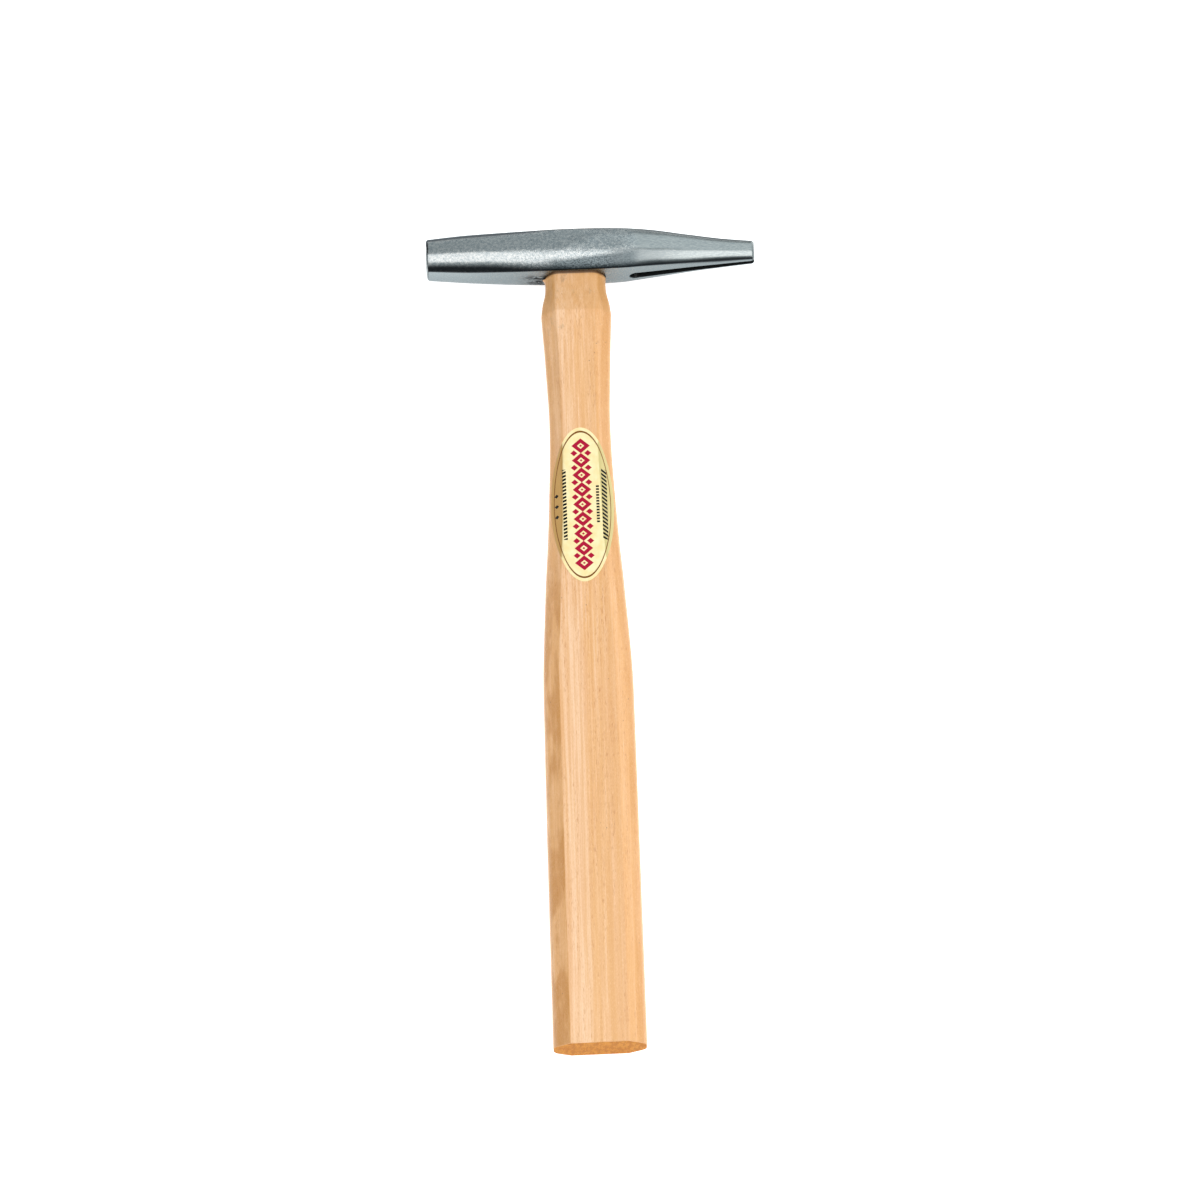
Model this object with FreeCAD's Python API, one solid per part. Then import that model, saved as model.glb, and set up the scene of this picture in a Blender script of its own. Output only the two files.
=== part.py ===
import FreeCAD, Part
import math
import os

# Light magnetic tack hammer, lying on its side. Millimetres.
# The parts are drawn about the crossing of the head's axis and the handle's axis:
# X along the head, from the round face (-X) to the split tip (+X),
# Y along the handle, from the butt (-Y) to the head (+Y), and Z through the cheeks.
# Each finished part is then moved so that the origin is the centre of the hammer's footprint.

# Overall sizes
FACE_X = -48.8
TIP_X = 59.2
BUTT_Y = -265.6
CHEEK_HALF_WIDTH = 9.6
GRIP_HALF_THICKNESS = CHEEK_HALF_WIDTH

# Head sections: round cheeks cut by crowned flats on top and underneath.
# half_height: axis to the flat's crisp edge. half_flat: half the flat's width.
# half_width: axis to the cheek. crown: rise of the flat in its middle.
# rise: the forging is not quite straight, so its sections sit a little above or below the axis.
EYE_HALF_HEIGHT = 7.2
EYE_CROWN = 0.85
FACE_SECTION = dict(half_height=5.6, half_flat=4.3, half_width=7.1, crown=0.5, rise=0.25)
MID_FACE_SECTION = dict(half_height=6.6, half_flat=5.2, half_width=8.4, crown=0.75, rise=0.12)
REAR_CHEEK_SECTION = dict(half_height=7.05, half_flat=6.4, half_width=9.3, crown=EYE_CROWN, rise=0.0)
EYE_SECTION = dict(
    half_height=EYE_HALF_HEIGHT, half_flat=7.3, half_width=CHEEK_HALF_WIDTH, crown=EYE_CROWN, rise=0.0
)
FRONT_CHEEK_SECTION = dict(half_height=6.95, half_flat=6.95, half_width=9.3, crown=EYE_CROWN, rise=0.0)
SLOT_ROOT_SECTION = dict(half_height=6.45, half_flat=6.3, half_width=8.75, crown=EYE_CROWN, rise=0.0)
MID_TAPER_SECTION = dict(half_height=4.8, half_flat=4.3, half_width=6.2, crown=0.75, rise=-0.25)
LATE_TAPER_SECTION = dict(half_height=3.9, half_flat=3.1, half_width=4.8, crown=0.6, rise=-0.5)
TIP_SECTION = dict(half_height=3.15, half_flat=2.2, half_width=3.5, crown=0.3, rise=-0.6)
HEAD_STATIONS = [
    (FACE_X, FACE_SECTION),
    (-33.6, MID_FACE_SECTION),
    (-17.0, REAR_CHEEK_SECTION),
    (0.0, EYE_SECTION),
    (15.0, FRONT_CHEEK_SECTION),
    (22.5, SLOT_ROOT_SECTION),
    (38.6, MID_TAPER_SECTION),
    (48.5, LATE_TAPER_SECTION),
    (TIP_X, TIP_SECTION),
]
FACE_CHAMFER = 0.7
TIP_ROUNDING = 0.9

# The split that makes the tip a two-pronged magnet: a drilled root and a narrowing slot
SLOT_ROOT_X = 20.2
SLOT_ROOT_RADIUS = 2.25
SLOT_ROOT_HALF_WIDTH = 2.1
SLOT_TIP_HALF_WIDTH = 1.0

# Handle sections: octagons with rounded corners.
# half_width: along the head. half_thickness: towards the wide front and back facets.
# front: half the wide facet. side: half the narrow side facet.
# soft: radius beside the side facet. corner: radius beside the wide facet.
FRONT_CORNER_RADIUS = 1.6
EYE_BOTTOM = dict(half_width=9.8, half_thickness=6.3, front=6.9, side=2.6, soft=3.0, corner=3.6)
EYE_TOP = dict(half_width=10.1, half_thickness=6.6, front=7.1, side=2.8, soft=3.0, corner=3.6)
NECK = dict(half_width=9.95, half_thickness=7.0, front=7.0, side=2.8, soft=3.0, corner=2.6)
SHOULDER = dict(half_width=11.5, half_thickness=8.9, front=6.8, side=3.6, soft=3.0)
FOREARM = dict(half_width=10.5, half_thickness=8.2, front=6.1, side=3.2, soft=3.0)
WAIST = dict(half_width=9.9, half_thickness=7.9, front=5.9, side=3.0, soft=3.0)
SWELL_START = dict(half_width=10.9, half_thickness=8.25, front=6.4, side=3.2, soft=3.3)
SWELL = dict(half_width=13.0, half_thickness=9.1, front=7.9, side=3.8, soft=4.2)
GRIP = dict(half_width=14.65, half_thickness=GRIP_HALF_THICKNESS, front=9.2, side=4.25, soft=5.0)
EYE_EXIT_Y = -8.6
SHOULDER_Y = -21.8
GRIP_START_Y = -150.0
NECK_STATIONS = [(EYE_EXIT_Y, EYE_BOTTOM), (-13.2, NECK), (SHOULDER_Y, SHOULDER)]
FOREARM_STATIONS = [
    (SHOULDER_Y, SHOULDER),
    (-41.0, FOREARM),
    (-60.0, WAIST),
    (-88.0, SWELL_START),
    (-119.0, SWELL),
    (GRIP_START_Y, GRIP),
]
BUTT_ROUNDING = 1.5

# Wedges in the tenon
WEDGE_TOP_HALF_THICKNESS = 1.6
WEDGE_EDGE_HALF_THICKNESS = 0.35
WEDGE_DEPTH = 11.0
STEEL_WEDGE_HALF_WIDTH = 4.5
STEEL_WEDGE_TOP_HALF_THICKNESS = 0.9
STEEL_WEDGE_EDGE_HALF_THICKNESS = 0.25
STEEL_WEDGE_DEPTH = 8.0
STEEL_WEDGE_BARB = 0.25
STEEL_WEDGE_BARB_COUNT = 3

# Foil label on the front facets
LABEL_CENTRE_Y = -88.6
LABEL_HALF_LENGTH = 26.3
LABEL_HALF_WIDTH = 10.2
LABEL_THICKNESS = 0.12

EYE_TOP_Y = EYE_HALF_HEIGHT + EYE_CROWN
PAST = 5.0
TO_ROW_FRAME = FreeCAD.Vector(
    -(FACE_X + TIP_X) / 2,
    -(BUTT_Y + EYE_TOP_Y) / 2,
    CHEEK_HALF_WIDTH,
)


def vector(x, y, z):
    return FreeCAD.Vector(x, y, z)


def arc(start, middle, end):
    return Part.Arc(start, middle, end).toShape()


def line(start, end):
    return Part.LineSegment(start, end).toShape()


def prism(points, direction):
    """A flat polygon pushed along a direction."""
    return Part.Face(Part.makePolygon(points + points[:1])).extrude(direction)


def edges_at(shape, axis, value):
    """The edges that lie in the plane where the axis takes the value."""
    tolerance = 1e-3
    found = []
    for edge in shape.Edges:
        if all(abs(getattr(vertex.Point, axis) - value) < tolerance for vertex in edge.Vertexes):
            found.append(edge)
    return found


def head_section(x, half_height, half_flat, half_width, crown, rise):
    """Two cheek arcs joined by two shallow crown arcs, in the plane of one X."""
    corners = [
        vector(x, rise + half_height, half_flat),
        vector(x, rise - half_height, half_flat),
        vector(x, rise - half_height, -half_flat),
        vector(x, rise + half_height, -half_flat),
    ]
    middles = [
        vector(x, rise, half_width),
        vector(x, rise - half_height - crown, 0),
        vector(x, rise, -half_width),
        vector(x, rise + half_height + crown, 0),
    ]
    ends = corners[1:] + corners[:1]
    return Part.Wire([arc(start, middle, end) for start, middle, end in zip(corners, middles, ends)])


def rounded_polygon(corners, radii):
    """A closed outline with an arc of the given radius at each corner."""
    count = len(corners)
    arcs = []
    for index, (corner, radius) in enumerate(zip(corners, radii)):
        to_last = (corners[index - 1] - corner).normalize()
        to_next = (corners[(index + 1) % count] - corner).normalize()
        half_angle = to_last.getAngle(to_next) / 2
        bisector = (to_last + to_next).normalize()
        tangent_length = radius / math.tan(half_angle)
        centre = corner + bisector * (radius / math.sin(half_angle))
        arcs.append((
            corner + to_last * tangent_length,
            centre - bisector * radius,
            corner + to_next * tangent_length,
        ))
    edges = []
    for index, (start, middle, end) in enumerate(arcs):
        edges.append(arc(start, middle, end))
        edges.append(line(end, arcs[(index + 1) % count][0]))
    return Part.Wire(edges)


def handle_section(y, half_width, half_thickness, front, side, soft, corner=FRONT_CORNER_RADIUS, grow=0.0):
    """An octagon with rounded corners in the plane of one Y."""
    width = half_width + grow
    thickness = half_thickness + grow
    quarter = [(width, side, soft), (front, thickness, corner)]
    outline = []
    for sign_x, sign_z, order in ((1, 1, 1), (-1, 1, -1), (-1, -1, 1), (1, -1, -1)):
        for x, z, radius in quarter[::order]:
            outline.append((vector(sign_x * x, y, sign_z * z), radius))
    corners = [point for point, radius in outline]
    radii = [radius + grow for corner, radius in outline]
    return rounded_polygon(corners, radii)


def handle_loft(stations, ruled, grow=0.0):
    """A solid through the sections, each drawn larger by the same amount."""
    sections = [handle_section(y, **section, grow=grow) for y, section in stations]
    return Part.makeLoft(sections, True, ruled)


def eye_hole():
    """The oval eye through the head, a little wider at the top where the wedges spread the tenon."""
    stations = [(EYE_EXIT_Y, EYE_BOTTOM), (EYE_TOP_Y + PAST, EYE_TOP)]
    return handle_loft(stations, True)


def tenon_space():
    """The part of the eye that the wood and the wedges fill, dressed to the crown on top."""
    reach = EYE_TOP["half_width"] + PAST
    edge = EYE_SECTION["half_flat"]
    left_bottom = vector(-reach, EYE_EXIT_Y, -edge)
    left_top = vector(-reach, EYE_HALF_HEIGHT, -edge)
    right_top = vector(-reach, EYE_HALF_HEIGHT, edge)
    right_bottom = vector(-reach, EYE_EXIT_Y, edge)
    outline = Part.Wire([
        line(left_bottom, left_top),
        arc(left_top, vector(-reach, EYE_TOP_Y, 0), right_top),
        line(right_top, right_bottom),
        line(right_bottom, left_bottom),
    ])
    return eye_hole().common(Part.Face(outline).extrude(vector(2 * reach, 0, 0)))


def slot():
    """The split from its drilled root to past the tip."""
    root = Part.makeCylinder(
        SLOT_ROOT_RADIUS, 4 * EYE_HALF_HEIGHT, vector(SLOT_ROOT_X, -2 * EYE_HALF_HEIGHT, 0), vector(0, 1, 0)
    )
    end_x = TIP_X + PAST
    slope = (SLOT_TIP_HALF_WIDTH - SLOT_ROOT_HALF_WIDTH) / (TIP_X - SLOT_ROOT_X)
    end_half_width = SLOT_TIP_HALF_WIDTH + slope * PAST
    outline = [
        vector(SLOT_ROOT_X, -2 * EYE_HALF_HEIGHT, SLOT_ROOT_HALF_WIDTH),
        vector(end_x, -2 * EYE_HALF_HEIGHT, end_half_width),
        vector(end_x, -2 * EYE_HALF_HEIGHT, -end_half_width),
        vector(SLOT_ROOT_X, -2 * EYE_HALF_HEIGHT, -SLOT_ROOT_HALF_WIDTH),
    ]
    return root.fuse(prism(outline, vector(0, 4 * EYE_HALF_HEIGHT, 0)))


def make_head():
    sections = [head_section(x, **section) for x, section in HEAD_STATIONS]
    forging = Part.makeLoft(sections, True, False)
    forging = forging.makeChamfer(FACE_CHAMFER, edges_at(forging, "x", FACE_X))
    forging = forging.makeFillet(TIP_ROUNDING, edges_at(forging, "x", TIP_X))
    return forging.cut(eye_hole()).cut(slot())


def kerf():
    """The V cut along the eye's long axis that the hardwood wedge fills."""
    reach = EYE_TOP["half_width"] + PAST
    bottom = EYE_TOP_Y - WEDGE_DEPTH
    outline = [
        vector(-reach, EYE_TOP_Y, WEDGE_TOP_HALF_THICKNESS),
        vector(-reach, EYE_TOP_Y, -WEDGE_TOP_HALF_THICKNESS),
        vector(-reach, bottom, -WEDGE_EDGE_HALF_THICKNESS),
        vector(-reach, bottom, WEDGE_EDGE_HALF_THICKNESS),
    ]
    return prism(outline, vector(2 * reach, 0, 0))


def make_steel_wedge():
    """A flat taper driven across the hardwood wedge, with a row of barbs down each face."""
    profile = [(STEEL_WEDGE_TOP_HALF_THICKNESS, EYE_TOP_Y)]
    step = STEEL_WEDGE_DEPTH / (STEEL_WEDGE_BARB_COUNT + 1)
    slope = (STEEL_WEDGE_TOP_HALF_THICKNESS - STEEL_WEDGE_EDGE_HALF_THICKNESS) / STEEL_WEDGE_DEPTH
    for barb in range(1, STEEL_WEDGE_BARB_COUNT + 1):
        depth = barb * step
        half_thickness = STEEL_WEDGE_TOP_HALF_THICKNESS - slope * depth
        profile.append((half_thickness - STEEL_WEDGE_BARB / 2, EYE_TOP_Y - depth))
        profile.append((half_thickness + STEEL_WEDGE_BARB / 2, EYE_TOP_Y - depth))
    profile.append((STEEL_WEDGE_EDGE_HALF_THICKNESS, EYE_TOP_Y - STEEL_WEDGE_DEPTH))
    right = [vector(x, y, -STEEL_WEDGE_HALF_WIDTH) for x, y in profile]
    left = [vector(-x, y, -STEEL_WEDGE_HALF_WIDTH) for x, y in reversed(profile)]
    return prism(right + left, vector(0, 0, 2 * STEEL_WEDGE_HALF_WIDTH))


def make_wood_wedge(steel_wedge):
    return tenon_space().common(kerf()).cut(steel_wedge)


def make_grip():
    """The straight grip, with flat facets and a rounded butt."""
    outline = Part.Face(handle_section(GRIP_START_Y, **GRIP))
    grip = outline.extrude(vector(0, BUTT_Y - GRIP_START_Y, 0))
    return grip.makeFillet(BUTT_ROUNDING, edges_at(grip, "y", BUTT_Y))


def make_handle(steel_wedge):
    tenon = tenon_space().cut(kerf()).cut(steel_wedge)
    grip = make_grip()
    neck = handle_loft(NECK_STATIONS, False)
    forearm = handle_loft(FOREARM_STATIONS, False)
    return tenon.fuse([neck, forearm, grip])


def make_label():
    """A foil oval pressed onto the front facets: the skin between the wood and a slightly larger loft."""
    skin = handle_loft(FOREARM_STATIONS, False, grow=LABEL_THICKNESS)
    skin = skin.cut(handle_loft(FOREARM_STATIONS, False))
    oval = Part.Ellipse(vector(0, 0, 0), LABEL_HALF_LENGTH, LABEL_HALF_WIDTH)
    oval.rotate(FreeCAD.Placement(vector(0, 0, 0), vector(0, 0, 1), 90))
    oval.translate(vector(0, LABEL_CENTRE_Y, 0))
    cutter = Part.Face(Part.Wire(oval.toShape())).extrude(vector(0, 0, 2 * GRIP_HALF_THICKNESS))
    return skin.common(cutter)


def write(node, shape):
    solids = shape.Solids
    part = solids[0] if len(solids) == 1 else Part.makeCompound(solids)
    part.translate(TO_ROW_FRAME)
    part.exportStep("parts/" + node + ".step")
    box = part.optimalBoundingBox()
    print(
        node, "solids", len(solids), "valid", part.isValid(), "volume %.1f" % part.Volume,
        "x %.2f %.2f y %.2f %.2f z %.2f %.2f" % (box.XMin, box.XMax, box.YMin, box.YMax, box.ZMin, box.ZMax),
    )


os.makedirs("parts", exist_ok=True)
wedge = make_steel_wedge()
write("head", make_head())
write("handle", make_handle(wedge))
write("wood_wedge", make_wood_wedge(wedge))
write("steel_wedge", wedge)
write("label", make_label())
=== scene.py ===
import math

import bmesh
import bpy
from mathutils import Matrix, Vector, noise


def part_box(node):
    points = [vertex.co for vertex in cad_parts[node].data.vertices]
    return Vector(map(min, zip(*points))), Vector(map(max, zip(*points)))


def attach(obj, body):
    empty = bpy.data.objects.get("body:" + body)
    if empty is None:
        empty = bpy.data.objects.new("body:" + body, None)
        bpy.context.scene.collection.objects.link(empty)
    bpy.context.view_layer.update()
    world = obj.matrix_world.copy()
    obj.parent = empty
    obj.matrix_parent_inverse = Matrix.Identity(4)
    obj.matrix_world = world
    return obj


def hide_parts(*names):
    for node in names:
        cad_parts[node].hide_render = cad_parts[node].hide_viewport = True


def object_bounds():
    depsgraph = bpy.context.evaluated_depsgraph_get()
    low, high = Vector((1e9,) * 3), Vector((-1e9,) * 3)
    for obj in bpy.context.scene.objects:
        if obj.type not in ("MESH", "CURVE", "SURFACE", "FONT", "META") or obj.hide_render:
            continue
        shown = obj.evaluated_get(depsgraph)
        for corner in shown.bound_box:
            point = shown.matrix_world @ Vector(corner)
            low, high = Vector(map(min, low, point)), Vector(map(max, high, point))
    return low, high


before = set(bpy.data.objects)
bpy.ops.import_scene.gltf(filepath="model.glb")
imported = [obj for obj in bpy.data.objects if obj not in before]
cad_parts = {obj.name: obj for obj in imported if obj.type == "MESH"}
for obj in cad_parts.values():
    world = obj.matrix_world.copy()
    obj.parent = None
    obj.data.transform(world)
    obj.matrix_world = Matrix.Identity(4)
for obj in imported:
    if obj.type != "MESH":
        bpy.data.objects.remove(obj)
CAD_LOW, CAD_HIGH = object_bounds()

# The pieces are drawn in millimetres about the crossing of the head's axis and the handle's axis:
# X along the head towards the split tip, Y along the handle towards the head, Z up through the cheeks.
MM = 0.001


def middle(node):
    low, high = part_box(node)
    return (Vector(low) + Vector(high)) / 2


CROSSING = Vector((middle("steel_wedge").x, middle("head").y, middle("head").z))
HEAD_LOW, HEAD_HIGH = (Vector(corner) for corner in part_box("head"))
HANDLE_LOW, HANDLE_HIGH = (Vector(corner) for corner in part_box("handle"))
FACE_X = (HEAD_LOW.x - CROSSING.x) / MM
TIP_X = (HEAD_HIGH.x - CROSSING.x) / MM
BUTT_Y = (HANDLE_LOW.y - CROSSING.y) / MM
TENON_TOP_Y = (HANDLE_HIGH.y - CROSSING.y) / MM
CHEEK = (HEAD_HIGH.z - CROSSING.z) / MM
GRIP_HALF_WIDTH = (HANDLE_HIGH.x - HANDLE_LOW.x) / MM / 2

# ---------------------------------------------------------------- small helpers

WELD_DISTANCE = 0.004 * MM
CRUMB_FACES = 50


def to_world(point):
    return CROSSING + Vector(point) * MM


def ease(stations, key, position):
    """A smooth value between stations, without overshoot: a monotone cubic through the named values."""
    places = [place for place, values in stations]
    values = [values[key] for place, values in stations]
    if position <= places[0]:
        return values[0]
    if position >= places[-1]:
        return values[-1]
    slopes = [(values[i + 1] - values[i]) / (places[i + 1] - places[i]) for i in range(len(places) - 1)]
    tangents = [slopes[0]]
    for before, after in zip(slopes, slopes[1:]):
        tangents.append(0.0 if before * after <= 0 else 2 * before * after / (before + after))
    tangents.append(slopes[-1])
    i = max(k for k in range(len(places) - 1) if places[k] <= position)
    width = places[i + 1] - places[i]
    t = (position - places[i]) / width
    return (
        values[i] * (1 + 2 * t) * (1 - t) ** 2
        + tangents[i] * width * t * (1 - t) ** 2
        + values[i + 1] * t * t * (3 - 2 * t)
        + tangents[i + 1] * width * t * t * (t - 1)
    )


def rounding_inset(distance, radius):
    """How far an outline is drawn in at a distance from a flat end, to round its rim."""
    if distance >= radius:
        return 0.0
    return radius - math.sqrt(max(0.0, radius ** 2 - (radius - distance) ** 2))


def rim_steps(radius, count):
    """Distances from a flat end that step evenly round its rim."""
    return [radius * (1 - math.cos(math.pi / 2 * i / count)) for i in range(count + 1)]


def wobble(point, size, seed):
    """Smooth noise from -1 to 1 that varies over the given size in millimetres."""
    return noise.noise(Vector(point) / size + Vector((seed, -seed, 2.3 * seed)))


def strip_faces(first, second):
    """Quads between two closed rows of vertex numbers."""
    count = len(first)
    return [(first[i], first[(i + 1) % count], second[(i + 1) % count], second[i]) for i in range(count)]


def grid_faces(rows):
    faces = []
    for first, second in zip(rows, rows[1:]):
        faces.extend(strip_faces(first, second))
    return faces


def add_row(vertices, points):
    start = len(vertices)
    vertices.extend(points)
    return list(range(start, start + len(points)))


def close_end(vertices, rim_row, rings, place):
    """Faces that close an end with shrinking rings, where place(point, scale) puts each point."""
    rim = [vertices[i] for i in rim_row]
    rows = [rim_row]
    for i in range(1, rings):
        scale = 1 - i / rings
        rows.append(add_row(vertices, [place(point, scale) for point in rim]))
    return grid_faces(rows) + [rows[-1]]


def make_object(name, vertices, faces):
    """A closed, smooth-shaded mesh object from points in millimetres."""
    mesh = bpy.data.meshes.new(name)
    mesh.from_pydata([to_world(point) for point in vertices], [], faces)
    shape = bmesh.new()
    shape.from_mesh(mesh)
    bmesh.ops.remove_doubles(shape, verts=shape.verts, dist=WELD_DISTANCE)
    bmesh.ops.dissolve_degenerate(shape, dist=WELD_DISTANCE / 2, edges=shape.edges)
    bmesh.ops.recalc_face_normals(shape, faces=shape.faces)
    for face in shape.faces:
        face.smooth = True
    shape.to_mesh(mesh)
    shape.free()
    piece = bpy.data.objects.new(name, mesh)
    bpy.context.scene.collection.objects.link(piece)
    return piece


def apply_modifiers(piece):
    """Keeps the shape that the modifiers make, and removes them."""
    graph = bpy.context.evaluated_depsgraph_get()
    mesh = bpy.data.meshes.new_from_object(piece.evaluated_get(graph))
    piece.modifiers.clear()
    piece.data = mesh


def cut_away(piece, cutters):
    for cutter in cutters:
        modifier = piece.modifiers.new("cut", "BOOLEAN")
        modifier.operation = "DIFFERENCE"
        modifier.solver = "EXACT"
        modifier.object = cutter
    apply_modifiers(piece)


def drop_crumbs(piece):
    """Deletes the small loose shells that a cut may leave."""
    shape = bmesh.new()
    shape.from_mesh(piece.data)
    waiting = set(shape.faces)
    while waiting:
        shell = {waiting.pop()}
        frontier = list(shell)
        while frontier:
            face = frontier.pop()
            near = {other for edge in face.edges for other in edge.link_faces} & waiting
            waiting -= near
            shell |= near
            frontier.extend(near)
        if len(shell) < CRUMB_FACES:
            bmesh.ops.delete(shape, geom=list(shell), context="FACES")
    shape.to_mesh(piece.data)
    shape.free()


def sharpen(piece, degrees):
    """Shades faces smooth, except across edges that turn by more than the angle."""
    piece.data.set_sharp_from_angle(angle=math.radians(degrees))


# ---------------------------------------------------------------- head

# Sections along the head: round cheeks cut by crowned flats on top and underneath.
# half_height: axis to the flat's crisp edge. half_flat: half the flat's width.
# half_width: axis to the cheek. crown: rise of the flat in its middle. rise: of the whole section.
EYE_HALF_HEIGHT = 7.2
EYE_CROWN = TENON_TOP_Y - EYE_HALF_HEIGHT
HEAD_STATIONS = [
    (FACE_X, dict(half_height=5.6, half_flat=4.3, half_width=7.1, crown=0.5, rise=0.25)),
    (-33.6, dict(half_height=6.6, half_flat=5.2, half_width=8.4, crown=0.75, rise=0.12)),
    (-17.0, dict(half_height=7.05, half_flat=6.4, half_width=9.3, crown=EYE_CROWN, rise=-0.1)),
    (0.0, dict(half_height=EYE_HALF_HEIGHT, half_flat=7.3, half_width=CHEEK, crown=EYE_CROWN, rise=-0.15)),
    (15.0, dict(half_height=6.95, half_flat=6.95, half_width=9.3, crown=EYE_CROWN, rise=-0.1)),
    (22.5, dict(half_height=6.45, half_flat=6.3, half_width=8.75, crown=EYE_CROWN, rise=0.0)),
    (38.6, dict(half_height=4.8, half_flat=4.3, half_width=6.2, crown=0.75, rise=-0.25)),
    (48.5, dict(half_height=3.9, half_flat=3.1, half_width=4.8, crown=0.6, rise=-0.5)),
    (TIP_X, dict(half_height=3.15, half_flat=2.2, half_width=3.5, crown=0.3, rise=-0.6)),
]
FACE_RIM = 0.9
FACE_DOME = 0.2
TIP_RIM = 0.9
RIM_POINTS = 7
HEAD_STEP = 0.5
HEAD_END_RINGS = 12
CROWN_POINTS = 14
CORNER_POINTS = 4
CHEEK_POINTS = 44
CORNER_SOFTNESS = 0.3
HEAD_CREASE = 36

# Unevenness of the forging, as depth, size and noise seed.
# The fine waves fade away from the eye and on the flats.
BROAD_WAVE = (0.05, 9.0, 1.7)
FINE_WAVES = ((0.025, 2.4, 5.1), (0.008, 1.0, 9.4))
HAMMERED_REACH = 17.0
DRAWN_ROUGHNESS = 0.15
GROUND_SMOOTHING = 0.75
GROUND_FADE = 0.6

# The low ridge that arches over the cheek beside the eye.
ARCH_X, ARCH_TOP_Y = 9.0, 3.4
ARCH_HEIGHT, ARCH_HALF_LENGTH, ARCH_HALF_WIDTH = 0.30, 10.0, 2.0
ARCH_DROP = 4.5 / 15.0 ** 2

SLOT_ROOT_X = 20.2
SLOT_ROOT_RADIUS = 2.25
SLOT_ROOT_HALF_WIDTH = 2.1
SLOT_TIP_HALF_WIDTH = 1.0
SLOT_ROOT_OVERLAP = 0.9
SLOT_CHAMFER = 0.18
SLOT_ROOT_POINTS = 24
SLOT_SIDE_POINTS = 40
EYE_CHAMFER = 0.3
CUTTER_OVERRUN = 4.0
CUTTER_END_OVERRUN = 3.0
EYE_OUTLINE = dict(half_width=9.8, half_thickness=6.3, front=6.9, side=2.6, soft=3.0, corner=3.6)
EYE_TOP_OUTLINE = dict(half_width=10.05, half_thickness=6.55, front=7.1, side=2.8, soft=3.0, corner=3.6)


def head_values(x):
    inset = rounding_inset(x - FACE_X, FACE_RIM) + rounding_inset(TIP_X - x, TIP_RIM)
    values = {key: ease(HEAD_STATIONS, key, x) for key in HEAD_STATIONS[0][1]}
    values["half_height"] -= inset * 0.8
    values["half_flat"] -= inset * 0.6
    values["half_width"] -= inset
    return values


def crown_height(x, z):
    """Distance of the crowned top or underside from the middle of the section."""
    values = head_values(x)
    across = min(1.0, abs(z) / values["half_flat"])
    return values["half_height"] + values["crown"] * (1 - across ** 2)


def crown_y(x, z, side):
    """Y of the crowned top (side 1) or underside (side -1)."""
    return head_values(x)["rise"] + side * crown_height(x, z)


def half_section(x):
    """The +Z half of the head's section, as (y, z) from mid underside to mid top."""
    values = head_values(x)
    height, flat, width = values["half_height"], values["half_flat"], values["half_width"]
    centre = (width ** 2 - flat ** 2 - height ** 2) / (2 * (width - flat))
    radius = width - centre
    sweep = math.atan2(height, flat - centre)
    points = []
    for i in range(CROWN_POINTS):
        z = (flat - CORNER_SOFTNESS) * i / (CROWN_POINTS - 1)
        points.append((-crown_height(x, z), z))
    side = CORNER_SOFTNESS / radius
    start, corner = points[-1], (-height, flat)
    end = (-radius * math.sin(sweep - side), centre + radius * math.cos(sweep - side))
    for i in range(1, CORNER_POINTS):
        t = i / CORNER_POINTS
        points.append(tuple(
            start[k] * (1 - t) ** 2 + 2 * corner[k] * t * (1 - t) + end[k] * t * t for k in (0, 1)
        ))
    for i in range(CHEEK_POINTS // 2 + 1):
        angle = (sweep - side) * (1 - 2 * i / CHEEK_POINTS)
        points.append((-radius * math.sin(angle), centre + radius * math.cos(angle)))
    return points + [(-y, z) for y, z in reversed(points[:-1])]


def head_places():
    """Where along X the sections are taken: closer at the rims."""
    places = [FACE_X + step for step in rim_steps(FACE_RIM, RIM_POINTS)]
    places += [TIP_X - step for step in rim_steps(TIP_RIM, RIM_POINTS)]
    low, high = FACE_X + FACE_RIM, TIP_X - TIP_RIM
    count = int((high - low) / HEAD_STEP)
    places += [low + (high - low) * i / count for i in range(1, count)]
    return sorted(places)


def forged(x, y, z, rise):
    """Moves a point of the head in or out, as forging, grinding and tumbling leave it."""
    radial = Vector((0, y, z))
    above_edge = abs(y) - head_values(x)["half_height"]
    on_flat = min(1.0, max(0.0, (above_edge + GROUND_FADE) / GROUND_FADE))
    round_eye = math.exp(-(x / HAMMERED_REACH) ** 4)
    rough = (1 - GROUND_SMOOTHING * on_flat) * (DRAWN_ROUGHNESS + (1 - DRAWN_ROUGHNESS) * round_eye)
    amount, size, seed = BROAD_WAVE
    depth = amount * wobble((x, y, z), size, seed)
    for amount, size, seed in FINE_WAVES:
        depth += rough * amount * wobble((x, y, z), size, seed)
    arch_y = ARCH_TOP_Y - ARCH_DROP * (x - ARCH_X) ** 2
    along_arch = math.exp(-((x - ARCH_X) / ARCH_HALF_LENGTH) ** 2)
    across_arch = math.exp(-((y - arch_y) / ARCH_HALF_WIDTH) ** 2)
    depth += ARCH_HEIGHT * along_arch * across_arch * (1 - on_flat)
    moved = radial + radial.normalized() * depth
    return (x, moved.y + rise, moved.z)


def domed(dome, middle_y):
    """How a point of the head's end moves as its ring shrinks: inwards, and out by the dome's height."""
    def place(point, scale):
        x, y, z = point
        return (x + dome * (1 - scale ** 2), middle_y + (y - middle_y) * scale, z * scale)
    return place


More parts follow.
